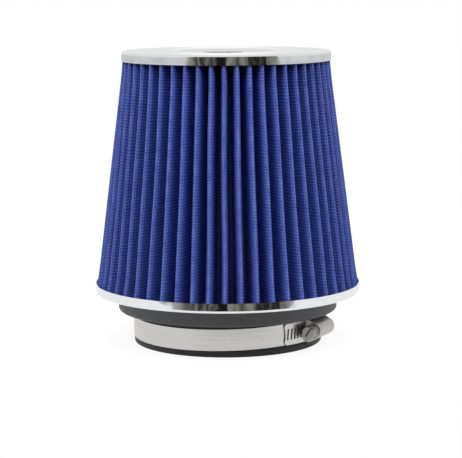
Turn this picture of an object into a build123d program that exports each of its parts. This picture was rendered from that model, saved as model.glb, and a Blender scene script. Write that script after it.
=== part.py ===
from build123d import *
import os
from math import atan2, cos, degrees, pi, radians, sin, tan

# Cone air filter with a clamp-on inlet neck, standing on the mouth of its neck.
# The origin is the centre of the inlet mouth, +Z runs up the filter's axis,
# and +X points through the middle of the clamp's screw housing.
# All sizes are in millimetres and all angles in degrees.

os.makedirs("parts", exist_ok=True)

# Moulded flange and inlet neck
inlet_bore_radius = 50.8
neck_wall = 2.8
mouth_bead_height = 3.5
mouth_bead_step = 0.4
flange_radius = 63.0
flange_height = 18.6
flange_thickness = 10.2
flange_edge_bevel = 1.4
web_radius = 60.0
pad_thickness = 2.2

# Chrome trim ring and chrome cap, both pressed from the same sheet
metal_thickness = 0.5
ring_radius = 76.2
ring_wall_height = 5.5
ring_corner_bevel = 1.0
cap_radius = 59.6
cap_top_height = 166.8
cap_skirt_length = 5.6
cap_corner_bevel = 0.9
cap_dish_radius = 29.0
cap_dish_depth = 3.2
cap_dish_draft = 2.4

# Pleated media
pleat_count = 52
first_ridge_angle = 0.2
pleat_depth = 19.0
media_thickness = 1.2
ridge_width = 3.4
crown_width = 1.2
valley_gap = 0.6
media_entry = 2.4
seal_inner_margin = 4.0

# Worm-drive clamp, which sits a little askew on the neck
clamp_skew = 1.55
clamp_high_angle = 71.0
band_width = 12.0
band_thickness = 0.65
band_height = 5.0
tail_end_angle = -26.0
tail_bend_angle = -10.5
tail_lift = 0.2
tail_corner_round = 1.6
tail_hollow_depth = 0.6
tail_hollow_radius = 13.0
fixed_end_angle = 9.0
ramp_start_angle = 12.0
ramp_end_angle = 30.0
slot_count = 18
slot_pitch = 2.45
slot_width = 1.0
slot_length = 6.2
slot_end_margin = 2.2
housing_length = 17.7
housing_sheet = 0.6
housing_floor = 0.6
housing_shoulder = 0.8
housing_edge_bevel = 0.3
housing_lip_length = 1.2
shank_radius = 3.4
thread_height = 0.4
screw_tip_length = 0.8
collar_radius = 3.9
collar_length = 1.55
head_across_flats = 7.0
head_length = 5.0
head_chamfer = 0.6
drive_slot_width = 1.2
drive_slot_depth = 1.9
drive_slot_angle = 55.0

# Clearances
press_gap = 0.1
slide_gap = 0.08
neck_gap = 0.25
running_gap = 0.1
moving_gap = 0.35

# Heights and radii that follow from the sizes above
neck_radius = inlet_bore_radius + neck_wall
mouth_bead_radius = neck_radius + mouth_bead_step
ring_floor_height = flange_height + flange_thickness
ring_inner_radius = ring_radius - metal_thickness
pad_bottom = ring_floor_height + metal_thickness
media_bottom = pad_bottom + pad_thickness
cap_edge_height = cap_top_height - cap_skirt_length
cap_inner_radius = cap_radius - metal_thickness
media_top = cap_edge_height + media_entry
base_ridge_radius = ring_inner_radius - press_gap
edge_ridge_radius = cap_inner_radius - press_gap
media_slope = (base_ridge_radius - edge_ridge_radius) / (cap_edge_height - media_bottom)
top_ridge_radius = base_ridge_radius - media_slope * (media_top - media_bottom)
band_inner_radius = neck_radius + neck_gap
band_outer_radius = band_inner_radius + band_thickness
band_middle = band_height + band_width / 2
tail_inner_radius = band_outer_radius + housing_floor + 2 * slide_gap
tail_outer_radius = tail_inner_radius + band_thickness
screw_axis_radius = tail_outer_radius + moving_gap + shank_radius
housing_bore_radius = shank_radius + thread_height + moving_gap


def polar(radius, angle):
    """Point in the XY plane at a radius and an angle from +X."""
    return Vector(radius * cos(radians(angle)), radius * sin(radians(angle)))


def corner(sketch, radius, height):
    """Corner of a revolved profile that lies nearest to a radius and a height."""
    return sketch.vertices().sort_by_distance((radius, height, 0))[0]


# The clamp's pieces are made level, and each is then turned about this axis through the band's middle
skew_axis = Axis((0, 0, band_middle), polar(1, clamp_high_angle - 90))

# Moulded flange, neck and mouth bead: one revolved piece with a groove for the floor of the trim ring
pad_radius = base_ridge_radius - ring_corner_bevel

with BuildPart() as base_flange:
    with BuildSketch(Plane.XZ) as flange_profile:
        with BuildLine():
            Polyline(
                (inlet_bore_radius, 0),
                (inlet_bore_radius, media_bottom),
                (pad_radius, media_bottom),
                (pad_radius, pad_bottom),
                (web_radius, pad_bottom),
                (web_radius, ring_floor_height),
                (flange_radius, ring_floor_height),
                (flange_radius, flange_height),
                (neck_radius, flange_height),
                (neck_radius, mouth_bead_height),
                (mouth_bead_radius, mouth_bead_height),
                (mouth_bead_radius, 0),
                close=True,
            )
        make_face()
        chamfer(corner(flange_profile, flange_radius, flange_height), length=flange_edge_bevel)
    revolve(axis=Axis.Z)
base_flange.part.label = "base_flange"
export_step(base_flange.part, "parts/base_flange.step")

# Chrome trim ring: a sheet with its floor held in the flange's groove and its wall round the pleats
with BuildPart() as base_ring:
    with BuildSketch(Plane.XZ):
        with BuildLine():
            Polyline(
                (web_radius + press_gap, ring_floor_height),
                (ring_radius - ring_corner_bevel, ring_floor_height),
                (ring_radius, ring_floor_height + ring_corner_bevel),
                (ring_radius, ring_floor_height + ring_wall_height),
            )
            offset(amount=metal_thickness, kind=Kind.INTERSECTION, side=Side.LEFT)
        make_face()
    revolve(axis=Axis.Z)
base_ring.part.label = "base_ring"
export_step(base_ring.part, "parts/base_ring.step")

# Chrome cap: a pressed cup with a shallow dish in its top
cap_dish_height = cap_top_height - cap_dish_depth

with BuildPart() as top_cap:
    with BuildSketch(Plane.XZ):
        with BuildLine():
            Polyline(
                (0, cap_dish_height),
                (cap_dish_radius - cap_dish_draft, cap_dish_height),
                (cap_dish_radius, cap_top_height),
                (cap_radius - cap_corner_bevel, cap_top_height),
                (cap_radius, cap_top_height - cap_corner_bevel),
                (cap_radius, cap_edge_height),
            )
            offset(amount=metal_thickness, kind=Kind.INTERSECTION, side=Side.RIGHT)
        make_face()
    revolve(axis=Axis.Z)
top_cap.part.label = "top_cap"
export_step(top_cap.part, "parts/top_cap.step")

# Urethane ring that seals the upper ends of the pleats inside the cap
seal_top = cap_top_height - metal_thickness
seal_inner_radius = cap_dish_radius + seal_inner_margin
seal_radius = edge_ridge_radius - cap_corner_bevel

with BuildPart() as top_seal:
    with BuildSketch(Plane.XY.offset(media_top)):
        Circle(seal_radius)
        Circle(seal_inner_radius, mode=Mode.SUBTRACT)
    extrude(amount=seal_top - media_top)
top_seal.part.label = "top_seal"
export_step(top_seal.part, "parts/top_seal.step")

# Pleated media: one sheet folded to and fro, with a flat crown and two creases at each fold.
# A pleat keeps its section all the way up and leans in with the cone, so the gaps between pleats
# close in towards the cap, where valley_gap is left between two flanks.
# Each pleat reaches to the middle of the valleys beside it.
pleat_pitch = 360 / pleat_count
fold_bevel = (ridge_width - crown_width) / 2
narrow_valley_radius = top_ridge_radius - pleat_depth + media_thickness
narrow_half_pitch = narrow_valley_radius * sin(radians(pleat_pitch / 2))
flank_foot_half = (narrow_half_pitch - valley_gap / 2) / cos(radians(pleat_pitch / 2))
flank_root_half = flank_foot_half - media_thickness
wide_half_pitch = base_ridge_radius * tan(radians(pleat_pitch / 2))
foot_radius = base_ridge_radius - pleat_depth
media_height = media_top - media_bottom
media_lean = Vector(top_ridge_radius - base_ridge_radius, 0, media_height)

with BuildPart() as pleat:
    with BuildSketch(Plane.XY.offset(media_bottom)):
        with BuildLine():
            Polyline(
                (base_ridge_radius, 0),
                (base_ridge_radius, crown_width / 2),
                (base_ridge_radius - fold_bevel, ridge_width / 2),
                (foot_radius + media_thickness, flank_foot_half),
                (foot_radius + media_thickness, wide_half_pitch),
                (foot_radius, wide_half_pitch),
                (foot_radius, flank_root_half + fold_bevel),
                (foot_radius + fold_bevel, flank_root_half),
                (base_ridge_radius - media_thickness, ridge_width / 2 - media_thickness),
                (base_ridge_radius - media_thickness, 0),
                close=True,
            )
        make_face()
        mirror(about=Plane.XZ)
    extrude(amount=media_lean.length, dir=media_lean)
    with BuildSketch(Plane.XY.offset(media_bottom)):
        with BuildLine():
            sector_corner = Vector(base_ridge_radius, wide_half_pitch)
            Polyline((0, 0), sector_corner, (base_ridge_radius, -wide_half_pitch), close=True)
        make_face()
    extrude(amount=media_height, mode=Mode.INTERSECT)

with BuildPart() as filter_media:
    with PolarLocations(0, pleat_count, start_angle=first_ridge_angle):
        add(pleat.part)
filter_media.part.label = "filter_media"
export_step(filter_media.part, "parts/filter_media.step")

# Clamp band: a strip that leaves its fixed end clockwise, goes once round the neck, climbs a ramp,
# and passes over its fixed end, through the housing, to a slotted free tail that bends back to the band
ramp_middle_angle = (ramp_start_angle + ramp_end_angle) / 2
ramp_middle_radius = (band_inner_radius + tail_inner_radius) / 2
tail_end_radius = band_outer_radius + tail_lift


def draw_band_skin(rise):
    """One skin of the strip, a rise outside its inner face, with the points where it starts and ends."""
    center = (0, 0)
    full_turn = ramp_end_angle - fixed_end_angle - 360
    loop = CenterArc(center, band_inner_radius + rise, fixed_end_angle, full_turn)
    ramp_middle = polar(ramp_middle_radius + rise, ramp_middle_angle)
    ramp_foot = TangentArc(loop @ 1, ramp_middle, tangent=loop % 1)
    ramp_top = polar(tail_inner_radius + rise, ramp_start_angle)
    TangentArc(ramp_middle, ramp_top, tangent=ramp_foot % 1)
    tail_turn = tail_bend_angle - ramp_start_angle
    tail = CenterArc(center, tail_inner_radius + rise, ramp_start_angle, tail_turn)
    tail_tip = polar(tail_end_radius + rise, tail_end_angle)
    TangentArc(tail @ 1, tail_tip, tangent=tail % 1)
    return loop @ 0, tail_tip


def share_between(angle, start_angle, end_angle):
    """How far an angle lies on the way from one angle to another, from 0 to 1."""
    return min(max((angle - start_angle) / (end_angle - start_angle), 0), 1)


def band_climb(angle):
    """How far the strip has climbed above the band's own radius at an angle near its tail."""
    ramp_foot = share_between(angle, ramp_end_angle, ramp_middle_angle)
    ramp_top = share_between(angle, ramp_start_angle, ramp_middle_angle)
    ramp = (1 + ramp_foot**2 - ramp_top**2) / 2
    tail = share_between(angle, tail_bend_angle, tail_end_angle) ** 2
    ramp_rise = tail_inner_radius - band_inner_radius
    return ramp_rise * ramp - (tail_inner_radius - tail_end_radius) * tail


def strip_plane(angle):
    """Plane on the middle of the strip near its tail, facing outwards, with its x along the strip."""
    radius = band_inner_radius + band_climb(angle) + band_thickness / 2
    origin = polar(radius, angle) + Vector(0, 0, band_middle)
    return Plane(origin, x_dir=polar(1, angle + 90), z_dir=polar(1, angle))


tail_middle_radius = (tail_inner_radius + tail_outer_radius) / 2
strip_cut_depth = band_thickness + 2 * slide_gap
slot_lean = -degrees(atan2(slot_pitch, 2 * pi * shank_radius))
slot_planes = []
for slot in range(slot_count):
    slot_run = slot_end_margin + slot * slot_pitch
    slot_angle = tail_end_angle + degrees(slot_run / tail_middle_radius)
    slot_planes.append(strip_plane(slot_angle))

with BuildPart() as clamp_band:
    with BuildSketch(Plane.XY.offset(band_height)):
        with BuildLine():
            fixed_inner, tail_inner = draw_band_skin(0)
            fixed_outer, tail_outer = draw_band_skin(band_thickness)
            Line(fixed_inner, fixed_outer)
            Line(tail_inner, tail_outer)
        make_face()
    extrude(amount=band_width)
    tail_end = strip_plane(tail_end_angle)
    end_face = clamp_band.faces().sort_by_distance(tail_end.origin)[0]
    end_corners = end_face.edges().sort_by(Axis.Z)
    fillet([end_corners[0], end_corners[-1]], radius=tail_corner_round)
    with Locations(tail_end):
        with Locations((tail_hollow_depth - tail_hollow_radius, 0)):
            Cylinder(tail_hollow_radius, strip_cut_depth, mode=Mode.SUBTRACT)
    with Locations(*slot_planes):
        slot_turn = (0, 0, slot_lean)
        Box(slot_width, slot_length, strip_cut_depth, rotation=slot_turn, mode=Mode.SUBTRACT)
clamp_band.part = clamp_band.part.rotate(skew_axis, clamp_skew)
clamp_band.part.label = "clamp_band"
export_step(clamp_band.part, "parts/clamp_band.step")

# Clamp housing: pressed sheet over the screw, with a floor between the two layers of the band
housing_radius = housing_bore_radius + housing_sheet
channel_half_width = band_width / 2 + slide_gap
channel_top = tail_outer_radius + slide_gap
foot_half_width = channel_half_width + housing_sheet
foot_top = channel_top + housing_shoulder
foot_bottom = neck_radius - housing_sheet
screw_center = (screw_axis_radius, band_middle)

with BuildPart() as clamp_housing:
    with BuildSketch(Plane.XZ):
        with Locations(screw_center):
            Circle(housing_radius)
        with Locations(((foot_bottom + foot_top) / 2, band_middle)):
            Rectangle(foot_top - foot_bottom, 2 * foot_half_width)
        make_hull()
    extrude(amount=housing_length / 2, both=True)
    end_faces = clamp_housing.faces().sort_by(Axis.Y)
    chamfer(end_faces[0].edges() + end_faces[-1].edges(), length=housing_edge_bevel)
    with BuildSketch(Plane.XZ):
        with Locations(screw_center):
            Circle(housing_bore_radius)
        with Locations(((tail_inner_radius + channel_top) / 2, band_middle)):
            Rectangle(channel_top - tail_inner_radius, 2 * channel_half_width)
        make_hull()
    extrude(amount=housing_length / 2 - housing_lip_length, both=True, mode=Mode.SUBTRACT)
    with BuildSketch(Plane.XZ):
        with Locations(screw_center):
            Circle(shank_radius + running_gap)
    extrude(amount=housing_length / 2, both=True, mode=Mode.SUBTRACT)
    with BuildSketch(Plane.XY.offset(band_middle)):
        Circle(channel_top)
        Circle(tail_inner_radius - slide_gap, mode=Mode.SUBTRACT)
    extrude(amount=channel_half_width, both=True, mode=Mode.SUBTRACT)
    with BuildSketch(Plane.XY.offset(band_middle)):
        Circle(band_outer_radius + slide_gap)
    extrude(amount=foot_half_width, both=True, mode=Mode.SUBTRACT)
clamp_housing.part = clamp_housing.part.rotate(skew_axis, clamp_skew)
clamp_housing.part.label = "clamp_housing"
export_step(clamp_housing.part, "parts/clamp_housing.step")

# Worm screw: slotted hex head, collar and shank, with the head towards -Y
collar_origin = (screw_axis_radius, -housing_length / 2 - moving_gap, band_middle)
collar_plane = Plane(collar_origin, x_dir=(1, 0, 0), z_dir=(0, -1, 0))
head_plane = collar_plane.offset(collar_length)
head_face = head_plane.offset(head_length)
head_corner_radius = head_across_flats / 2 / cos(radians(30))
shank_length = moving_gap + housing_length + screw_tip_length
upwards = (Align.CENTER, Align.CENTER, Align.MIN)
downwards = (Align.CENTER, Align.CENTER, Align.MAX)

with BuildPart() as clamp_screw:
    with Locations(head_plane):
        Cylinder(head_corner_radius, head_length, align=upwards)
    chamfer(clamp_screw.edges().group_by(Axis.Y)[0], length=head_chamfer)
    with BuildSketch(head_plane):
        RegularPolygon(head_across_flats / 2, 6, major_radius=False, rotation=30)
    extrude(amount=head_length, mode=Mode.INTERSECT)
    with Locations(head_face):
        drive_slot_size = (2 * head_across_flats, drive_slot_width, 2 * drive_slot_depth)
        Box(*drive_slot_size, rotation=(0, 0, drive_slot_angle), mode=Mode.SUBTRACT)
    with Locations(collar_plane):
        Cylinder(collar_radius, collar_length, align=upwards)
        Cylinder(shank_radius, shank_length, align=downwards)
clamp_screw.part = clamp_screw.part.rotate(skew_axis, clamp_skew)
clamp_screw.part.label = "clamp_screw"
export_step(clamp_screw.part, "parts/clamp_screw.step")
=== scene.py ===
"""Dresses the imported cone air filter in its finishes, and lights it on a plain white stage."""

import math
import random

import bmesh
import bpy
from mathutils import Matrix, Vector


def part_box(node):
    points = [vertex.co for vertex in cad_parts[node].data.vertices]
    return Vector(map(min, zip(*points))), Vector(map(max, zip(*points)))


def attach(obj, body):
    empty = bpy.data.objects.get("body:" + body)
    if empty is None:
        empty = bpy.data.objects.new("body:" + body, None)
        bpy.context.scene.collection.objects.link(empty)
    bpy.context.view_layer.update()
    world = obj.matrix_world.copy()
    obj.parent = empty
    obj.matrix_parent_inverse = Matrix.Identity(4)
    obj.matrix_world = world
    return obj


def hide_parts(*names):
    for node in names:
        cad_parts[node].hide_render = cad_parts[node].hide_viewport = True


bl_info = {
    "name": "Cone Air Filter",
    "version": (1, 0, 0),
    "blender": (4, 5, 0),
    "location": "View3D > Sidebar > Cone Filter",
    "description": "Dresses a clamp-on cone air filter and lights it on a plain white stage",
    "category": "Object",
}

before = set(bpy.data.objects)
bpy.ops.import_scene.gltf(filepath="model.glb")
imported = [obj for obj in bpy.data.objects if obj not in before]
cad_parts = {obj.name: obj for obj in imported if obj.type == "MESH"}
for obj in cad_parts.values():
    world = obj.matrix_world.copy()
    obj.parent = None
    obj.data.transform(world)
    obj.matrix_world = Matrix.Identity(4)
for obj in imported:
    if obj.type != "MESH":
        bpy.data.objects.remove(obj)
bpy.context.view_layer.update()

MM = 0.001
FULL_TURN = 2 * math.pi
MERGE_DISTANCE = 1e-6
# Copies of a pleat meet less exactly than the two ends of a spun skin
PLEAT_MERGE_DISTANCE = 20 * MERGE_DISTANCE
SPIN_STEPS = 160
BEND_SEGMENTS = 6
FOLD_SEGMENTS = 4
EDGE_SEGMENTS = 2
# How far beside a bend the flat next to it gets a point of its own
FLAT_MARGIN = 0.15 * MM
# On the clamp, edges that turn less lie within one face, and edges that turn more were sheared
FACE_ANGLE = math.radians(0.5)
SHEARED_ANGLE = math.radians(40)
# Rows of points up a pleat, as shares of its height, closer together near its ends
PLEAT_ROWS = (0.0, 0.025, 0.05, 0.1, 0.2, 0.3, 0.4, 0.5, 0.6, 0.7, 0.8, 0.9, 0.95, 0.975, 1.0)
FOLD_SEED = 52


def size(default_mm, name, description):
    """Length property of a piece, with its default given in millimetres."""
    return bpy.props.FloatProperty(
        name=name,
        description=description,
        default=default_mm * MM,
        min=0.0,
        unit="LENGTH",
        precision=5,
    )


def angle(default_degrees, name, description):
    """Angle property of a piece, with its default given in degrees."""
    return bpy.props.FloatProperty(
        name=name,
        description=description,
        default=math.radians(default_degrees),
        subtype="ANGLE",
        unit="ROTATION",
    )


def tint(default, name, description):
    """Colour property of a finish, as an sRGB hex value."""
    return bpy.props.StringProperty(name=name, description=description, default=default)


def node_size(node, corner, axis):
    """A CAD node's reach in millimetres: corner 0 is its lowest and 1 its highest."""
    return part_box(node)[corner][axis] / MM


class ConeFilterSizes(bpy.types.PropertyGroup):
    """Sizes of the pieces that are rounded or folded here."""

    cap_radius: size(node_size("top_cap", 1, 0), "Cap radius", "Outside of the cap's skirt")
    cap_top: size(node_size("top_cap", 1, 2), "Cap top", "Height of the cap's flat top")
    cap_edge: size(node_size("top_cap", 0, 2), "Cap edge", "Height of the skirt's lower edge")
    cap_bend: size(1.3, "Cap bend", "Rounding between the cap's top and its skirt")
    dish_radius: size(29.0, "Dish radius", "Rim of the dish pressed into the cap")
    dish_foot: size(26.5, "Dish foot", "Radius of the dish's floor")
    dish_depth: size(3.2, "Dish depth", "Depth of the dish below the cap's top")
    dish_bend: size(0.6, "Dish bend", "Rounding at the foot of the dish")
    sheet: size(0.5, "Sheet", "Thickness of the pressed sheet of the cap and the trim ring")
    ring_radius: size(node_size("base_ring", 1, 0), "Ring radius", "Outside of the trim ring")
    ring_floor: size(node_size("base_ring", 0, 2), "Ring floor", "Underside of the trim ring")
    ring_top: size(node_size("base_ring", 1, 2), "Ring top", "Upper edge of the trim ring")
    ring_hole: size(60.1, "Ring hole", "Radius of the hole in the trim ring's floor")
    ring_bend: size(1.4, "Ring bend", "Rounding between the ring's floor and its wall")
    bore_radius: size(50.8, "Bore radius", "Radius of the inlet")
    neck_radius: size(53.6, "Neck radius", "Outside of the inlet neck")
    bead_radius: size(54.0, "Bead radius", "Outside of the bead at the mouth")
    bead_height: size(3.5, "Bead height", "Height of the bead at the mouth")
    bead_round: size(0.15, "Bead rounding", "Rounding of the step from the bead to the neck")
    flange_radius: size(63.0, "Flange radius", "Outside of the flange under the ring")
    flange_bottom: size(18.6, "Flange bottom", "Height of the flange's underside")
    flange_round: size(1.6, "Flange rounding", "Rounding of the flange's lower edge")
    rubber_round: size(0.8, "Rubber rounding", "Rounding of the bore, the mouth and the neck's root")
    web_radius: size(60.0, "Web radius", "Foot of the groove that holds the ring")
    pad_radius: size(node_size("base_flange", 1, 0), "Pad radius", "Pad under the pleats")
    pad_top: size(node_size("base_flange", 1, 2), "Pad top", "Height of the pad's face")
    media_top: size(node_size("filter_media", 1, 2), "Media top", "Upper end of the pleats")
    ridge_foot: size(75.6, "Ridge radius at the foot", "Pleat ridges at the pad")
    ridge_top: size(58.69, "Ridge radius at the top", "Pleat ridges inside the cap")
    ridge_sag: size(0.45, "Ridge sag", "How far ridges bow in between the ring and the cap")
    pleat_depth: size(17.8, "Pleat depth", "From a ridge to the floor of a valley")
    first_ridge: angle(0.2, "First ridge", "Where a ridge stands, from the middle of the screw housing")
    seam_drift: angle(4.5, "Seam drift", "How far the tops of the folds drift round beside the sheet's seam")
    seam_angle: angle(-133, "Seam angle", "Where the seam lies, from the middle of the screw housing")
    seam_reach: angle(62, "Seam reach", "How far round from the seam the folds drift")
    fold_sway: size(0.3, "Fold sway", "How far a fold wanders to its sides at most")
    fold_swell: size(0.12, "Fold swell", "How far a fold stands out or in at most")
    crown_width: size(0.8, "Crown width", "Width of the crown of a fold")
    ridge_width: size(2.7, "Ridge width", "Width of a pleat at the shoulders of its fold")
    ridge_drop: size(1.2, "Ridge drop", "How far the shoulders lie below the crown")
    crown_round: size(0.38, "Crown rounding", "Rounding of a fold's crown")
    shoulder_round: size(0.75, "Shoulder rounding", "Rounding of a fold's shoulders")
    pleat_foot_width: size(4.35, "Pleat foot width", "Width of a pleat at its foot")
    valley_round: size(0.26, "Valley rounding", "Rounding at the foot of a flank")
    media_thickness: size(0.6, "Media thickness", "Wire screen and gauze, pressed together at the folds")
    wire_pitch: size(1.72, "Wire pitch", "Spacing of the wires of the screen")
    pleat_count: bpy.props.IntProperty(
        name="Pleats", description="Number of pleats round the filter", default=52, min=3
    )
    steel_round: size(0.12, "Steel edge", "Rounding of the clamp's sheared edges")


class ConeFilterFinish(bpy.types.PropertyGroup):
    """Colours of the finishes, as sRGB hex values."""

    chrome: tint("#EEF0F2", "Chrome", "Bright chrome plate")
    # Painted highlight: a paler tone painted on the crests of the folds
    wire_crest_highlight: tint("#A3B0D8", "Wire, rubbed", "Paler coating where the crests of the folds are rubbed")
    wire: tint("#6377CB", "Wire", "Coating of the wire screen")
    gauze: tint("#3547A5", "Gauze", "Dyed cotton gauze behind the wires")
    gauze_dark: tint("#1F2A5C", "Gauze, oiled", "Cotton gauze where dye and oil lie thicker")
    # Painted shade and light: the neck's colour is painted dark for the shade under the flange, and the
    # flange's colour pale as lit
    rubber: tint("#1F2022", "Rubber", "Moulded neck, rubbed clean by handling and the clamp")
    rubber_lit_flange: tint("#6A6B6D", "Rubber, bloomed", "Pale bloom on the flange above the clamp")
    stainless: tint("#D2D1CD", "Stainless", "Rolled strip of the clamp band")
    zinc: tint("#D0CFCB", "Zinc", "Plating of the clamp's housing")
    zinc_dull: tint("#C0BFBA", "Zinc, dull", "Duller patches of that plating")
    screw_zinc: tint("#B6B4AF", "Screw zinc", "Greyer plating of the screw")
    screw_dull: tint("#95938D", "Screw zinc, dull", "Duller patches of the screw's plating")
    # Painted shade: a dark tone for the clamp's slots and corners, where shade falls
    crevice_shade: tint("#2A2927", "Grease", "Dark grease in the clamp's slots and corners")
    urethane: tint("#26272B", "Urethane", "Cast seal inside the cap")
    urethane_dark: tint("#1C1D20", "Urethane, deep", "Pits in the skin of the cast seal")
    studio_dark: tint("#1A1816", "Studio dark", "Unlit room in front of the stage")
    studio_grey: tint("#8A867F", "Studio grey", "Lit things in that room")
    paper: tint("#FAFAFA", "Paper", "White paper that the filter stands on")
    paper_bounce: tint("#707070", "Paper bounce", "Light that the paper throws back up")


def linear(colour):
    """Linear RGBA of an sRGB hex value."""
    parts = [int(colour[place : place + 2], 16) / 255 for place in (1, 3, 5)]
    return [c / 12.92 if c <= 0.04045 else ((c + 0.055) / 1.055) ** 2.4 for c in parts] + [1.0]


def feed(tree, node, inputs):
    """Gives each of a node's inputs its value, or the output socket that feeds it."""
    for name, value in inputs.items():
        if isinstance(value, bpy.types.NodeSocket):
            tree.links.new(value, node.inputs[name])
        else:
            node.inputs[name].default_value = value


def add_node(tree, kind, inputs=None, **settings):
    """Adds a node with its settings, and feeds its inputs."""
    node = tree.nodes.new("ShaderNode" + kind)
    for name, value in settings.items():
        setattr(node, name, value)
    feed(tree, node, inputs or {})
    return node


def new_material(name):
    """An empty material with its node tree and its surface shader."""
    material = bpy.data.materials.new(name)
    material.use_nodes = True
    tree = material.node_tree
    return material, tree, tree.nodes["Principled BSDF"]


def chrome_plate(wall_radius):
    """Bright chrome on pressed steel: a mirror with the faint waviness of the pressing."""
    finish = bpy.context.scene.cone_filter_finish
    material, tree, shader = new_material("bright_chrome_plate")
    place = add_node(tree, "TexCoord").outputs["Object"]
    # Pressing waves are about 10 mm long, and the upright walls, drawn down, are wavier than the flats
    waves = add_node(
        tree, "TexNoise", {"Vector": place, "Scale": 1 / (10 * MM), "Detail": 1.0}
    ).outputs[0]
    level = add_node(
        tree, "VectorMath", {0: place, 1: (1.0, 1.0, 0.0)}, operation="MULTIPLY"
    ).outputs[0]
    radius = add_node(tree, "VectorMath", {0: level}, operation="LENGTH").outputs["Value"]
    depth = add_node(
        tree,
        "MapRange",
        {
            "Value": radius,
            "From Min": wall_radius - 2 * MM,
            "From Max": wall_radius - 0.5 * MM,
            "To Min": 0.3 * MM,
            "To Max": 0.6 * MM,
        },
    ).outputs[0]
    bump = add_node(tree, "Bump", {"Height": waves, "Strength": 0.5, "Distance": depth}).outputs[0]
    # Handling leaves smears some 8 mm across that dull the mirror a little
    smears = add_node(
        tree, "TexNoise", {"Vector": place, "Scale": 1 / (8 * MM), "Detail": 3.0}
    ).outputs[0]
    rough = add_node(
        tree, "MapRange", {"Value": smears, "From Min": 0.35, "To Min": 0.05, "To Max": 0.12}
    ).outputs[0]
    feed(
        tree,
        shader,
        {"Base Color": linear(finish.chrome), "Metallic": 1.0, "Roughness": rough, "Normal": bump},
    )
    return material


def coated_wire_screen():
    """Coated wire screen over dyed gauze: thin bright blue wires, with duller, fuzzy cloth between them, and
    a painted highlight on the crests of the folds.
    """
    finish = bpy.context.scene.cone_filter_finish
    material, tree, shader = new_material("coated_wire_screen_over_gauze")
    # The UV map counts wires, so one unit is one wire pitch across and along the sheet
    counts = add_node(tree, "TexCoord").outputs["UV"]
    place = add_node(tree, "TexCoord").outputs["Object"]
    # Wires wander by up to half a pitch over about 15 mm, because the screen is soft
    drift = add_node(
        tree, "TexNoise", {"Vector": place, "Scale": 1 / (15 * MM), "Detail": 1.0}
    ).outputs["Color"]
    wandering = add_node(
        tree, "VectorMath", {0: drift, 1: (1.0, 1.0, 0.0), 2: counts}, operation="MULTIPLY_ADD"
    ).outputs[0]
    across, along, _ = add_node(tree, "SeparateXYZ", {0: wandering}).outputs
    # At each crossing one wire goes over the other, and at the next crossing under it
    swings = []
    for count in (across, along):
        phase = add_node(tree, "Math", {0: count, 1: math.pi}, operation="MULTIPLY").outputs[0]
        swings.append(add_node(tree, "Math", {0: phase}, operation="COSINE").outputs[0])
    over = add_node(tree, "Math", {0: swings[0], 1: swings[1]}, operation="MULTIPLY").outputs[0]
    # Wires round the pleats stand a little higher than those up the pleats, which are drawn tight
    wire_edge, wire_crown = 0.24, 0.03
    heights = []
    for count, swing, level in ((across, 0.12, 0.4), (along, -0.12, 0.58)):
        offset = add_node(tree, "Math", {0: count, 1: 0.5}, operation="PINGPONG").outputs[0]
        wire = add_node(
            tree,
            "MapRange",
            {"Value": offset, "From Min": wire_edge, "From Max": wire_crown},
            interpolation_type="SMOOTHSTEP",
        ).outputs[0]
        lift = add_node(
            tree, "Math", {0: over, 1: swing, 2: level}, operation="MULTIPLY_ADD"
        ).outputs[0]
        heights.append(add_node(tree, "Math", {0: wire, 1: lift}, operation="MULTIPLY").outputs[0])
    weave = add_node(tree, "Math", {0: heights[0], 1: heights[1]}, operation="MAXIMUM").outputs[0]
    # Dye takes unevenly over about 7 mm. Threads are 0.5 mm apart, drawn at 0.9 mm so that they show
    blotch = add_node(
        tree, "TexNoise", {"Vector": place, "Scale": 1 / (7 * MM), "Detail": 4.0}
    ).outputs[0]
    threads = add_node(
        tree, "TexNoise", {"Vector": place, "Scale": 1 / (0.9 * MM), "Detail": 2.0}
    ).outputs[0]
    uneven = add_node(
        tree, "MapRange", {"Value": blotch, "To Min": 0.42, "To Max": 0.58}
    ).outputs[0]
    fuzz = add_node(tree, "Math", {0: uneven, 1: threads}, operation="MULTIPLY").outputs[0]
    dyed = add_node(
        tree, "MapRange", {"Value": fuzz, "From Min": 0.16, "From Max": 0.33}
    ).outputs[0]
    gauze = add_node(
        tree,
        "Mix",
        {0: dyed, 6: linear(finish.gauze_dark), 7: linear(finish.gauze)},
        data_type="RGBA",
    ).outputs[2]
    coated = add_node(
        tree, "Mix", {0: weave, 6: gauze, 7: linear(finish.wire)}, data_type="RGBA"
    ).outputs[2]
    # Painted highlight: the crests of the folds are painted paler, in patches of the same size as the dye's
    crest = add_node(tree, "Attribute", attribute_name="crest").outputs["Fac"]
    patches = add_node(
        tree, "MapRange", {"Value": blotch, "From Min": 0.3, "From Max": 0.7, "To Max": 0.14}
    ).outputs[0]
    crest_highlight = add_node(tree, "Math", {0: crest, 1: patches}, operation="MULTIPLY").outputs[0]
    colour = add_node(
        tree, "Mix", {0: crest_highlight, 6: coated, 7: linear(finish.wire_crest_highlight)}, data_type="RGBA"
    ).outputs[2]
    # Wires are smoother than the cloth, and stand 0.2 mm above it
    rough = add_node(tree, "MapRange", {"Value": weave, "To Min": 0.8, "To Max": 0.35}).outputs[0]
    bump = add_node(
        tree, "Bump", {"Height": weave, "Strength": 0.6, "Distance": 0.2 * MM}
    ).outputs[0]
    feed(
        tree,
        shader,
        {"Base Color": colour, "Roughness": rough, "Normal": bump, "Specular IOR Level": 0.45},
    )
    return material


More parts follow.
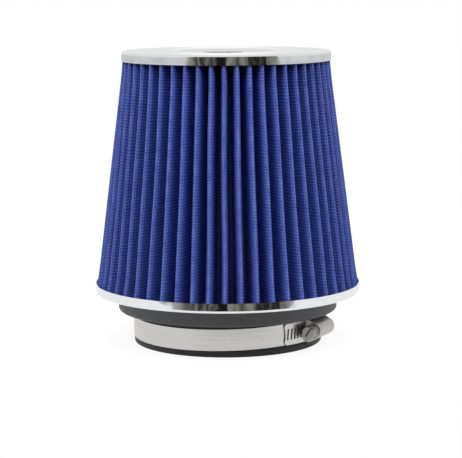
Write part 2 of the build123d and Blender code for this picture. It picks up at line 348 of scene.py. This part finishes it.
def moulded_rubber():
    """Moulded polyurethane: satin grey with a fine mould grain, painted pale on the flange as if lit and dark
    on the neck as if in the flange's shade.
    """
    finish = bpy.context.scene.cone_filter_finish
    material, tree, shader = new_material("moulded_polyurethane_rubber")
    place = add_node(tree, "TexCoord").outputs["Object"]
    # The mould's grain is about 0.4 mm; it is drawn at 0.8 mm so that it shows
    grain = add_node(
        tree, "TexNoise", {"Vector": place, "Scale": 1 / (0.8 * MM), "Detail": 2.0}
    ).outputs[0]
    # Painted light and shade: above 19 mm the flange is painted in a pale, lit tone that varies in clouds
    # some 16 mm across, and below 14 mm the neck in a dark tone for the flange's shade
    cloud = add_node(
        tree, "TexNoise", {"Vector": place, "Scale": 1 / (16 * MM), "Detail": 3.0}
    ).outputs[0]
    patches = add_node(
        tree, "MapRange", {"Value": cloud, "To Min": 0.75, "To Max": 1.15}
    ).outputs[0]
    height = add_node(tree, "SeparateXYZ", {0: place}).outputs[2]
    reach = add_node(
        tree, "MapRange", {"Value": height, "From Min": 14 * MM, "From Max": 19 * MM}
    ).outputs[0]
    painted_light = add_node(tree, "Math", {0: patches, 1: reach}, operation="MULTIPLY").outputs[0]
    colour = add_node(
        tree,
        "Mix",
        {0: painted_light, 6: linear(finish.rubber), 7: linear(finish.rubber_lit_flange)},
        data_type="RGBA",
    ).outputs[2]
    rough = add_node(tree, "MapRange", {"Value": cloud, "To Min": 0.42, "To Max": 0.62}).outputs[0]
    bump = add_node(
        tree, "Bump", {"Height": grain, "Strength": 0.25, "Distance": 0.05 * MM}
    ).outputs[0]
    feed(
        tree,
        shader,
        {"Base Color": colour, "Roughness": rough, "Normal": bump, "Specular IOR Level": 0.38},
    )
    return material


def crevice_shaded(tree, steel):
    """Colour of a clamp steel, with painted shade darkening its slots and corners within 1 mm."""
    finish = bpy.context.scene.cone_filter_finish
    air = add_node(
        tree, "AmbientOcclusion", {"Distance": 1.0 * MM}, samples=8, only_local=True
    ).outputs["AO"]
    # Share left unpainted: the AO is low deep in slots and corners, where the painted shade goes
    clean = add_node(
        tree, "MapRange", {"Value": air, "From Min": 0.3, "From Max": 0.85}
    ).outputs[0]
    return add_node(
        tree, "Mix", {0: clean, 6: linear(finish.crevice_shade), 7: steel}, data_type="RGBA"
    ).outputs[2]


def rolled_stainless():
    """Rolled stainless strip: a soft mirror with rolling lines along the strip."""
    finish = bpy.context.scene.cone_filter_finish
    material, tree, shader = new_material("rolled_stainless_strip")
    place = add_node(tree, "TexCoord").outputs["Object"]
    # Rolling lines lie about 0.5 mm apart across the strip and run for some 30 mm along it
    lines = add_node(
        tree,
        "Mapping",
        {"Vector": place, "Scale": (1 / (30 * MM), 1 / (30 * MM), 1 / (0.5 * MM))},
    ).outputs[0]
    streak = add_node(tree, "TexNoise", {"Vector": lines, "Scale": 1.0, "Detail": 3.0}).outputs[0]
    # The strip is a little uneven over about 11 mm
    cloud = add_node(
        tree, "TexNoise", {"Vector": place, "Scale": 1 / (11 * MM), "Detail": 2.0}
    ).outputs[0]
    rough = add_node(
        tree,
        "MapRange",
        {"Value": streak, "From Min": 0.3, "From Max": 0.7, "To Min": 0.22, "To Max": 0.34},
    ).outputs[0]
    height = add_node(tree, "Math", {0: cloud, 1: streak}, operation="ADD").outputs[0]
    bump = add_node(
        tree, "Bump", {"Height": height, "Strength": 0.06, "Distance": 0.03 * MM}
    ).outputs[0]
    # Painted shade in the strip's slots and corners
    colour = crevice_shaded(tree, linear(finish.stainless))
    feed(
        tree, shader, {"Base Color": colour, "Metallic": 1.0, "Roughness": rough, "Normal": bump}
    )
    return material


def zinc_plate(name, bright, dull):
    """Zinc plate on pressed and headed steel: satin grey with a soft mottle."""
    material, tree, shader = new_material(name)
    place = add_node(tree, "TexCoord").outputs["Object"]
    # The plating's mottle is about 2 mm across
    mottle = add_node(
        tree, "TexNoise", {"Vector": place, "Scale": 1 / (2 * MM), "Detail": 4.0}
    ).outputs[0]
    plating = add_node(
        tree, "Mix", {0: mottle, 6: linear(dull), 7: linear(bright)}, data_type="RGBA"
    ).outputs[2]
    rough = add_node(tree, "MapRange", {"Value": mottle, "To Min": 0.42, "To Max": 0.6}).outputs[0]
    bump = add_node(
        tree, "Bump", {"Height": mottle, "Strength": 0.2, "Distance": 0.03 * MM}
    ).outputs[0]
    # Painted shade in the plating's slots and corners
    colour = crevice_shaded(tree, plating)
    feed(
        tree, shader, {"Base Color": colour, "Metallic": 1.0, "Roughness": rough, "Normal": bump}
    )
    return material


def cast_urethane():
    """Cast urethane: dark and softly shiny, with a slightly uneven skin and small pits."""
    finish = bpy.context.scene.cone_filter_finish
    material, tree, shader = new_material("cast_urethane")
    place = add_node(tree, "TexCoord").outputs["Object"]
    # The skin is uneven over about 3 mm
    skin = add_node(
        tree, "TexNoise", {"Vector": place, "Scale": 1 / (3 * MM), "Detail": 3.0}
    ).outputs[0]
    colour = add_node(
        tree,
        "Mix",
        {0: skin, 6: linear(finish.urethane_dark), 7: linear(finish.urethane)},
        data_type="RGBA",
    ).outputs[2]
    bump = add_node(
        tree, "Bump", {"Height": skin, "Strength": 0.3, "Distance": 0.2 * MM}
    ).outputs[0]
    feed(tree, shader, {"Base Color": colour, "Roughness": 0.45, "Normal": bump})
    return material


def guard_flats(corners, closed):
    """Adds a point close beside each bend, which keeps the flat next to it truly flat in the mirror."""
    outline = []
    for place, (radius, height, rounding) in enumerate(corners):
        spot = Vector((radius, height))
        beside = {-1: [], 1: []}
        for step, guards in beside.items():
            if not rounding or not (closed or 0 <= place + step < len(corners)):
                continue
            other = corners[(place + step) % len(corners)]
            way = Vector(other[:2]) - spot
            # A flat too short for a point at both of its ends does without
            if way.length > rounding + other[2] + 3 * FLAT_MARGIN:
                guards.append((*(spot + way.normalized() * (rounding + FLAT_MARGIN)), 0.0))
        outline += [*beside[-1], (radius, height, rounding), *beside[1]]
    return outline


def draw_profile(bm, spots, roundings, segments, closed=False):
    """Line through the spots with its corners rounded. Gives back its points, as they were drawn."""
    points = [bm.verts.new(spot) for spot in spots]
    for first, second in zip(points, points[1:]):
        bm.edges.new((first, second))
    if closed:
        bm.edges.new((points[-1], points[0]))
    for point, rounding in zip(points, roundings):
        if rounding:
            bmesh.ops.bevel(
                bm,
                geom=[point],
                offset=rounding,
                affect="VERTICES",
                segments=segments,
                profile=0.5,
                material=-1,
            )
    return points


def spin_profile(corners, closed=False):
    """Skin spun round the Z axis. Each corner of its profile is a radius, a height and a rounding."""
    outline = guard_flats(corners, closed)
    spots = [(radius, 0.0, height) for radius, height, rounding in outline]
    roundings = [rounding for radius, height, rounding in outline]
    bm = bmesh.new()
    draw_profile(bm, spots, roundings, BEND_SEGMENTS, closed)
    bmesh.ops.spin(
        bm,
        geom=bm.verts[:] + bm.edges[:],
        axis=(0, 0, 1),
        angle=FULL_TURN,
        steps=SPIN_STEPS,
        use_merge=True,
    )
    bmesh.ops.remove_doubles(bm, verts=bm.verts, dist=MERGE_DISTANCE)
    bmesh.ops.recalc_face_normals(bm, faces=bm.faces)
    return bm


def rounded_copy(node, width):
    """Copy of a CAD node's mesh with its sheared edges rounded."""
    bm = bmesh.new()
    bm.from_mesh(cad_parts[node].data)
    bmesh.ops.remove_doubles(bm, verts=bm.verts, dist=MERGE_DISTANCE)
    bmesh.ops.dissolve_limit(bm, angle_limit=FACE_ANGLE, verts=bm.verts, edges=bm.edges)
    sheared = [edge for edge in bm.edges if edge.calc_face_angle(0.0) > SHEARED_ANGLE]
    bmesh.ops.bevel(
        bm,
        geom=sheared,
        offset=width,
        affect="EDGES",
        segments=EDGE_SEGMENTS,
        profile=0.5,
        material=-1,
        clamp_overlap=True,
    )
    return bm


def thicken(bm, thickness):
    """Gives a skin its thickness on the inside."""
    bmesh.ops.solidify(bm, geom=bm.faces[:], thickness=thickness)


def place_piece(bm, name, material, body, nodes, sharp_angle=40):
    """Makes the finished mesh an object that rides on its body and stands for its CAD nodes."""
    mesh = bpy.data.meshes.new(name)
    bm.to_mesh(mesh)
    bm.free()
    mesh.polygons.foreach_set("use_smooth", [True] * len(mesh.polygons))
    mesh.set_sharp_from_angle(angle=math.radians(sharp_angle))
    mesh.materials.append(material)
    piece = bpy.data.objects.new(name, mesh)
    bpy.context.scene.collection.objects.link(piece)
    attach(piece, body)
    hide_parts(*nodes)
    return piece


class CONEFILTER_OT_cap(bpy.types.Operator):
    """Chrome cap, pressed from one sheet, with a shallow dish in its top"""

    bl_idname = "cone_filter.cap"
    bl_label = "Chrome Cap"

    def execute(self, context):
        sizes = context.scene.cone_filter_sizes
        floor = sizes.cap_top - sizes.dish_depth
        bm = spin_profile(
            [
                (0.0, floor, 0.0),
                (sizes.dish_foot, floor, sizes.dish_bend),
                (
                    sizes.dish_foot + sizes.dish_bend / 4,
                    sizes.cap_top,
                    sizes.dish_radius - sizes.dish_foot,
                ),
                (sizes.cap_radius, sizes.cap_top, sizes.cap_bend),
                (sizes.cap_radius, sizes.cap_edge, 0.0),
            ]
        )
        thicken(bm, sizes.sheet)
        plate = chrome_plate(sizes.cap_radius)
        place_piece(bm, "chrome_cap", plate, "filter", ["top_cap"])
        return {"FINISHED"}


class CONEFILTER_OT_trim_ring(bpy.types.Operator):
    """Chrome trim ring round the foot of the pleats"""

    bl_idname = "cone_filter.trim_ring"
    bl_label = "Chrome Trim Ring"

    def execute(self, context):
        sizes = context.scene.cone_filter_sizes
        bm = spin_profile(
            [
                (sizes.ring_hole, sizes.ring_floor, 0.0),
                (sizes.ring_radius, sizes.ring_floor, sizes.ring_bend),
                (sizes.ring_radius, sizes.ring_top, 0.0),
            ]
        )
        thicken(bm, sizes.sheet)
        plate = chrome_plate(sizes.ring_radius)
        place_piece(bm, "chrome_trim_ring", plate, "filter", ["base_ring"])
        return {"FINISHED"}


class CONEFILTER_OT_flange(bpy.types.Operator):
    """Moulded rubber flange with the inlet neck and the bead at its mouth"""

    bl_idname = "cone_filter.flange"
    bl_label = "Rubber Flange and Neck"

    def execute(self, context):
        sizes = context.scene.cone_filter_sizes
        groove_top = sizes.ring_floor + sizes.sheet
        bm = spin_profile(
            [
                (sizes.bore_radius, 0.0, sizes.rubber_round),
                (sizes.bore_radius, sizes.pad_top, sizes.rubber_round),
                (sizes.pad_radius, sizes.pad_top, 0.0),
                (sizes.pad_radius, groove_top, 0.0),
                (sizes.web_radius, groove_top, 0.0),
                (sizes.web_radius, sizes.ring_floor, 0.0),
                (sizes.flange_radius, sizes.ring_floor, 0.0),
                (sizes.flange_radius, sizes.flange_bottom, sizes.flange_round),
                (sizes.neck_radius, sizes.flange_bottom, sizes.rubber_round),
                (sizes.neck_radius, sizes.bead_height, sizes.bead_round),
                (sizes.bead_radius, sizes.bead_height, sizes.bead_round),
                (sizes.bead_radius, 0.0, sizes.rubber_round),
            ],
            closed=True,
        )
        place_piece(
            bm, "rubber_flange", moulded_rubber(), "filter", ["base_flange"]
        )
        return {"FINISHED"}


class CONEFILTER_OT_media(bpy.types.Operator):
    """Pleated sheet of wire screen and gauze, folded and closed into a tapered ring"""

    bl_idname = "cone_filter.media"
    bl_label = "Pleated Media"

    # Shares of the height at each end: held by the pad or the seal, and over which a fold then comes free
    held_share = 0.02
    freeing_share = 1 / 16
    # Half waves of a fold's sway between its ends
    half_waves = 2.5
    # How near to a whole number a count of wires has to come
    count_margin = 1e-4

    def execute(self, context):
        sizes = context.scene.cone_filter_sizes
        bm = bmesh.new()
        bm.verts.layers.float.new("along")
        bm.verts.layers.float.new("crest")
        bm.loops.layers.uv.new("wires")
        first = self.fold_pleat(bm, sizes)
        wires = self.count_wires(bm, sizes, first)
        self.raise_pleat(bm, sizes, wires)
        self.copy_round(bm, sizes)
        self.settle_folds(bm, sizes)
        thicken(bm, sizes.media_thickness)
        place_piece(
            bm,
            "pleated_media",
            coated_wire_screen(),
            "filter",
            ["filter_media"],
            sharp_angle=60,
        )
        return {"FINISHED"}

    def fold_pleat(self, bm, sizes):
        """Foot of one pleat, from the middle of a valley to the middle of the next. Gives its first point."""
        valley = sizes.ridge_foot - sizes.pleat_depth
        half_pitch = math.pi / sizes.pleat_count
        flank = [
            (valley, valley * math.tan(half_pitch), 0.0),
            (valley, sizes.pleat_foot_width / 2, sizes.valley_round),
            (sizes.ridge_foot - sizes.ridge_drop, sizes.ridge_width / 2, sizes.shoulder_round),
            (sizes.ridge_foot, sizes.crown_width / 2, sizes.crown_round),
        ]
        corners = [(x, -y, rounding) for x, y, rounding in flank] + flank[::-1]
        spots = [(x, y, sizes.pad_top) for x, y, rounding in corners]
        roundings = [rounding for x, y, rounding in corners]
        return draw_profile(bm, spots, roundings, FOLD_SEGMENTS)[0]

    def count_wires(self, bm, sizes, point):
        """Distance along the folded sheet, counted in wires, with a whole number of them to a pleat."""
        along = bm.verts.layers.float["along"]
        edge = point.link_edges[0]
        run = 0.0
        while True:
            run += edge.calc_length()
            point = edge.other_vert(point)
            point[along] = run
            onward = [other for other in point.link_edges if other is not edge]
            if not onward:
                break
            edge = onward[0]
        wires = round(run / sizes.wire_pitch)
        for vert in bm.verts:
            vert[along] *= wires / run
        return wires

    def raise_pleat(self, bm, sizes, wires):
        """Draws the pleat up, leaning in with the cone, and maps the wires on it."""
        along = bm.verts.layers.float["along"]
        counts = bm.loops.layers.uv["wires"]
        height = sizes.media_top - sizes.pad_top
        lean = sizes.ridge_top - sizes.ridge_foot
        row = bm.edges[:]
        for below, above in zip(PLEAT_ROWS, PLEAT_ROWS[1:]):
            grown = bmesh.ops.extrude_edge_only(bm, edges=row)["geom"]
            fresh = [item for item in grown if isinstance(item, bmesh.types.BMVert)]
            step = above - below
            bmesh.ops.translate(bm, verts=fresh, vec=(lean * step, 0.0, height * step))
            row = [
                item
                for item in grown
                if isinstance(item, bmesh.types.BMEdge) and all(v in fresh for v in item.verts)
            ]
        # Its outer ends stay in the middle of the valleys
        half_pitch = math.pi / sizes.pleat_count
        for vert in bm.verts:
            if vert[along] == 0.0 or abs(vert[along] - wires) < self.count_margin:
                vert.co.y = math.copysign(vert.co.x * math.tan(half_pitch), vert.co.y)
        slant = math.hypot(height, lean) / height
        for face in bm.faces:
            for loop in face.loops:
                rise = (loop.vert.co.z - sizes.pad_top) * slant
                loop[counts].uv = (loop.vert[along], rise / sizes.wire_pitch)

    def copy_round(self, bm, sizes):
        """Copies the pleat round the filter and closes the ring."""
        bmesh.ops.rotate(bm, verts=bm.verts, matrix=Matrix.Rotation(sizes.first_ridge, 3, "Z"))
        bmesh.ops.spin(
            bm,
            geom=bm.verts[:] + bm.edges[:] + bm.faces[:],
            axis=(0, 0, 1),
            angle=FULL_TURN * (sizes.pleat_count - 1) / sizes.pleat_count,
            steps=sizes.pleat_count - 1,
            use_duplicate=True,
        )
        bmesh.ops.remove_doubles(bm, verts=bm.verts, dist=PLEAT_MERGE_DISTANCE)
        bmesh.ops.recalc_face_normals(bm, faces=bm.faces)

    def settle_folds(self, bm, sizes):
        """Bows the ridges in a little between the ring and the cap, with no two folds quite alike."""
        crest = bm.verts.layers.float["crest"]
        height = sizes.media_top - sizes.pad_top
        lean = sizes.ridge_top - sizes.ridge_foot
        half_pitch = math.pi / sizes.pleat_count
        draw = random.Random(FOLD_SEED)
        sways = [(draw.uniform(-1, 1), draw.uniform(0, FULL_TURN)) for _ in range(sizes.pleat_count)]
        for vert in bm.verts:
            share = (vert.co.z - sizes.pad_top) / height
            clear = min(share - self.held_share, 1 - self.held_share - share)
            free = min(1.0, max(0.0, clear) / self.freeing_share)
            radius = math.hypot(vert.co.x, vert.co.y)
            out = (radius - (sizes.ridge_foot + lean * share - sizes.pleat_depth)) / sizes.pleat_depth
            # Share of the crown, 1 at its top and 0 at the shoulders, by which the material paints its
            # highlight
            vert[crest] = max(0.0, 1 - (1 - out) * sizes.pleat_depth / sizes.ridge_drop)
            turn = math.atan2(vert.co.y, vert.co.x) - sizes.first_ridge + half_pitch
            pleat = int(turn % FULL_TURN / (2 * half_pitch))
            sway, phase = sways[pleat % sizes.pleat_count]
            wave = math.sin(self.half_waves * share * math.pi + phase)
            across = sizes.fold_sway * sway * wave * free * out
            swell = (sizes.fold_swell * sway - sizes.ridge_sag) * free * out
            outward = Vector((vert.co.x, vert.co.y, 0.0)).normalized()
            vert.co += outward * swell + Vector((-outward.y, outward.x, 0.0)) * across
            # Beside the seam the folds lean over towards it as they rise
            away = math.atan2(vert.co.y, vert.co.x) - sizes.seam_angle
            gap = abs((away + math.pi) % FULL_TURN - math.pi) / sizes.seam_reach
            drift = sizes.seam_drift * share**2 * (1 + math.cos(math.pi * min(gap, 1.0))) / 2
            vert.co.rotate(Matrix.Rotation(-drift, 3, "Z"))


class CONEFILTER_OT_seal(bpy.types.Operator):
    """Urethane seal inside the cap"""

    bl_idname = "cone_filter.seal"
    bl_label = "Urethane Seal"

    def execute(self, context):
        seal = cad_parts["top_seal"]
        seal.data.materials.clear()
        seal.data.materials.append(cast_urethane())
        return {"FINISHED"}


class CONEFILTER_OT_clamp(bpy.types.Operator):
    """Worm-drive hose clamp: slotted band, screw housing and screw"""

    bl_idname = "cone_filter.clamp"
    bl_label = "Hose Clamp"

    def execute(self, context):
        sizes = context.scene.cone_filter_sizes
        finish = context.scene.cone_filter_finish
        housing_zinc = zinc_plate("zinc_plated_steel", finish.zinc, finish.zinc_dull)
        screw_zinc = zinc_plate("zinc_plated_screw", finish.screw_zinc, finish.screw_dull)
        for node, name, steel, body, slot in (
            ("clamp_band", "slotted_band", rolled_stainless(), "filter", "band_steel"),
            ("clamp_housing", "screw_housing", housing_zinc, "filter", "band_steel"),
            ("clamp_screw", "worm_screw", screw_zinc, "screw", "screw_steel"),
        ):
            rounded = rounded_copy(node, sizes.steel_round)
            piece = place_piece(rounded, name, steel, body, [node], sharp_angle=50)
            # Flats stay flat in the mirror, and only the rounded edges turn the light
            shading = piece.modifiers.new("flats_first", "WEIGHTED_NORMAL")
            shading.weight = 100
            shading.keep_sharp = True
        return {"FINISHED"}


class CONEFILTER_OT_stage(bpy.types.Operator):
    """White stage with soft light from both sides and above, and the camera"""

    bl_idname = "cone_filter.stage"
    bl_label = "Stage, Light and Camera"

    # How far round from the front the photo was taken
    view_turn = math.radians(29.18)

    def execute(self, context):
        self.lay_floor(context)
        self.light_room(context)
        self.hang_lamps(context)
        self.set_camera(context)
        context.scene.view_settings.view_transform = "Standard"
        return {"FINISHED"}

    def lay_floor(self, context):
        """White table top, whose front edge is near the filter as in a small studio."""
        front, back, side = -0.168, 0.5, 0.5
        skew = math.radians(3)
        bm = bmesh.new()
        bmesh.ops.create_grid(bm, x_segments=1, y_segments=1, size=1.0)
        bmesh.ops.scale(bm, vec=(side, (back - front) / 2, 1.0), verts=bm.verts)
        bmesh.ops.translate(bm, vec=(0.0, (back + front) / 2, 0.0), verts=bm.verts)
        turned = Matrix.Rotation(self.view_turn + skew, 3, "Z")
        bmesh.ops.rotate(bm, matrix=turned, verts=bm.verts)
        mesh = bpy.data.meshes.new("stage_floor")
        bm.to_mesh(mesh)
        bm.free()
        finish = context.scene.cone_filter_finish
        material, tree, shader = new_material("white_paper_sweep")
        rays = add_node(tree, "LightPath").outputs
        # The camera sees white paper, and the light that it throws back up is kept low
        paper = add_node(
            tree,
            "Mix",
            {0: rays["Is Camera Ray"], 6: linear(finish.paper_bounce), 7: linear(finish.paper)},
            data_type="RGBA",
        ).outputs[2]
        feed(tree, shader, {"Base Color": paper, "Roughness": 0.9})
        # To the camera and in the chrome it is nearly even white, with a little of the filter's shadow
        even_share = 0.88
        white = add_node(tree, "Emission", {"Color": (1, 1, 1, 1), "Strength": 1.0}).outputs[0]
        seen = add_node(
            tree, "Math", {0: rays["Is Camera Ray"], 1: rays["Is Glossy Ray"]}, operation="MAXIMUM"
        ).outputs[0]
        share = add_node(tree, "Math", {0: seen, 1: even_share}, operation="MULTIPLY").outputs[0]
        mixed = add_node(tree, "MixShader", {0: share, 1: shader.outputs[0], 2: white}).outputs[0]
        feed(tree, tree.nodes["Material Output"], {"Surface": mixed})
        mesh.materials.append(material)
        floor = bpy.data.objects.new("stage_floor", mesh)
        context.scene.collection.objects.link(floor)

    def light_room(self, context):
        """White walls and ceiling, with an unlit room behind the camera that the chrome mirrors."""
        finish = context.scene.cone_filter_finish
        world = bpy.data.worlds.new("white_studio")
        context.scene.world = world
        world.use_nodes = True
        tree = world.node_tree
        towards = add_node(tree, "TexCoord").outputs["Generated"]
        # Turned so that -Y points to the camera's side
        faced = add_node(
            tree,
            "Mapping",
            {"Vector": towards, "Rotation": (0.0, 0.0, -self.view_turn)},
            vector_type="VECTOR",
        ).outputs[0]
        right, deep, up = add_node(tree, "SeparateXYZ", {0: faced}).outputs
        near = add_node(tree, "Math", {0: deep, 1: -1.0}, operation="MULTIPLY").outputs[0]
        turn = add_node(tree, "Math", {0: right, 1: near}, operation="ARCTAN2").outputs[0]
        rise = add_node(tree, "Math", {0: up}, operation="ARCSINE").outputs[0]
        # The unlit room spans about 100 degrees, a little more of it on the right
        middle = math.radians(7.0)
        dark_half, room_half = math.radians(46), math.radians(56)
        dark_top, room_top = math.radians(18), math.radians(36)
        aside = add_node(tree, "Math", {0: turn, 1: middle}, operation="SUBTRACT").outputs[0]
        apart = add_node(tree, "Math", {0: aside}, operation="ABSOLUTE").outputs[0]
        within = add_node(
            tree,
            "MapRange",
            {"Value": apart, "From Min": room_half, "From Max": dark_half},
            interpolation_type="SMOOTHSTEP",
        ).outputs[0]
        below = add_node(
            tree,
            "MapRange",
            {"Value": rise, "From Min": room_top, "From Max": dark_top},
            interpolation_type="SMOOTHSTEP",
        ).outputs[0]
        unlit = add_node(tree, "Math", {0: within, 1: below}, operation="MULTIPLY").outputs[0]
        # Stands and doorways in it show as upright streaks some 12 degrees wide
        streak = add_node(
            tree,
            "TexNoise",
            {"W": turn, "Scale": 1 / math.radians(12), "Detail": 4.0, "Roughness": 0.65},
            noise_dimensions="1D",
        ).outputs[0]
        lit = add_node(
            tree, "MapRange", {"Value": streak, "From Min": 0.46, "From Max": 0.6}
        ).outputs[0]
        # Its sides catch some of the stage's light
        grey_half = math.radians(36)
        side = add_node(
            tree, "MapRange", {"Value": apart, "From Min": grey_half, "From Max": dark_half}
        ).outputs[0]
        greyed = add_node(tree, "Math", {0: lit, 1: side}, operation="MAXIMUM").outputs[0]
        room = add_node(
            tree,
            "Mix",
            {0: greyed, 6: linear(finish.studio_dark), 7: linear(finish.studio_grey)},
            data_type="RGBA",
        ).outputs[2]
        # Walls darken towards the floor of the room
        wall_foot, wall_full = math.radians(-10), math.radians(4)
        wall = add_node(
            tree,
            "MapRange",
            {
                "Value": rise,
                "From Min": wall_foot,
                "From Max": wall_full,
                "To Min": 0.42,
                "To Max": 0.82,
            },
            interpolation_type="SMOOTHSTEP",
        ).outputs[0]
        # A narrow card straight behind the filter brightens the middle of the cap's top
        card_edge, card_full = math.radians(178.0), math.radians(179.6)
        off_axis = add_node(tree, "Math", {0: turn}, operation="ABSOLUTE").outputs[0]
        card = add_node(
            tree,
            "MapRange",
            {"Value": off_axis, "From Min": card_edge, "From Max": card_full, "To Max": 0.16},
            interpolation_type="SMOOTHSTEP",
        ).outputs[0]
        behind = add_node(tree, "Math", {0: wall, 1: card}, operation="ADD").outputs[0]
        mirrored = add_node(
            tree, "Mix", {0: unlit, 6: behind, 7: room}, data_type="RGBA"
        ).outputs[2]
        # The camera itself sees plain white
        rays = add_node(tree, "LightPath").outputs["Is Camera Ray"]
        seen = add_node(
            tree, "Mix", {0: rays, 6: mirrored, 7: (1.0, 1.0, 1.0, 1.0)}, data_type="RGBA"
        ).outputs[2]
        feed(tree, tree.nodes["Background"], {"Color": seen, "Strength": 1.0})

    def hang_lamps(self, context):
        """Two tall softboxes in front and above, kept out of the chrome's mirror image."""
        target = Vector((0.0, 0.0, 0.09))
        distance, lift = 1.1, math.radians(52.0)
        width, depth, power = 0.5, 0.9, 10.5
        for name, aside in (("softbox_left", -45.0), ("softbox_right", 45.0)):
            turn = self.view_turn + math.radians(aside)
            way = Vector(
                (
                    math.sin(turn) * math.cos(lift),
                    -math.cos(turn) * math.cos(lift),
                    math.sin(lift),
                )
            )
            lamp = bpy.data.lights.new(name, "AREA")
            lamp.shape = "RECTANGLE"
            lamp.size = width
            lamp.size_y = depth
            lamp.energy = power
            placed = bpy.data.objects.new(name, lamp)
            placed.location = target + way * distance
            placed.rotation_mode = "QUATERNION"
            placed.rotation_quaternion = (-way).to_track_quat("-Z", "Y")
            placed.visible_glossy = False
            context.scene.collection.objects.link(placed)

    def set_camera(self, context):
        """Camera of the photo: a long lens about a metre away, looking down a little."""
        reach, height = 1.026, 0.2109
        pitch, roll, yaw = math.radians(8.14), math.radians(0.35), math.radians(0.12)
        camera = bpy.data.cameras.new("photo_view")
        camera.sensor_width = 36.0
        camera.lens = 140.03
        placed = bpy.data.objects.new("photo_view", camera)
        turned = (
            Matrix.Rotation(self.view_turn - yaw, 4, "Z")
            @ Matrix.Rotation(math.pi / 2 - pitch, 4, "X")
            @ Matrix.Rotation(-roll, 4, "Z")
        )
        spot = (reach * math.sin(self.view_turn), -reach * math.cos(self.view_turn), height)
        placed.matrix_world = Matrix.Translation(spot) @ turned
        context.scene.collection.objects.link(placed)
        context.scene.camera = placed


OPERATORS = (
    CONEFILTER_OT_cap,
    CONEFILTER_OT_trim_ring,
    CONEFILTER_OT_flange,
    CONEFILTER_OT_media,
    CONEFILTER_OT_seal,
    CONEFILTER_OT_clamp,
    CONEFILTER_OT_stage,
)


class CONEFILTER_PT_panel(bpy.types.Panel):
    """Sidebar panel with the filter's pieces"""

    bl_label = "Cone Filter"
    bl_idname = "CONEFILTER_PT_panel"
    bl_space_type = "VIEW_3D"
    bl_region_type = "UI"
    bl_category = "Cone Filter"

    def draw(self, context):
        for operator in OPERATORS:
            self.layout.operator(operator.bl_idname)


CLASSES = (ConeFilterSizes, ConeFilterFinish, *OPERATORS, CONEFILTER_PT_panel)


def register():
    """Makes the pieces' operators, the panel and the scene's sizes and finishes known to Blender."""
    for cls in CLASSES:
        bpy.utils.register_class(cls)
    bpy.types.Scene.cone_filter_sizes = bpy.props.PointerProperty(type=ConeFilterSizes)
    bpy.types.Scene.cone_filter_finish = bpy.props.PointerProperty(type=ConeFilterFinish)


def unregister():
    """Takes back what register made known."""
    del bpy.types.Scene.cone_filter_finish
    del bpy.types.Scene.cone_filter_sizes
    for cls in reversed(CLASSES):
        bpy.utils.unregister_class(cls)


def main():
    """Makes the pieces and the stage in order."""
    register()
    bpy.ops.cone_filter.cap()
    bpy.ops.cone_filter.trim_ring()
    bpy.ops.cone_filter.flange()
    bpy.ops.cone_filter.media()
    bpy.ops.cone_filter.seal()
    bpy.ops.cone_filter.clamp()
    bpy.ops.cone_filter.stage()


if __name__ == "__main__":
    main()
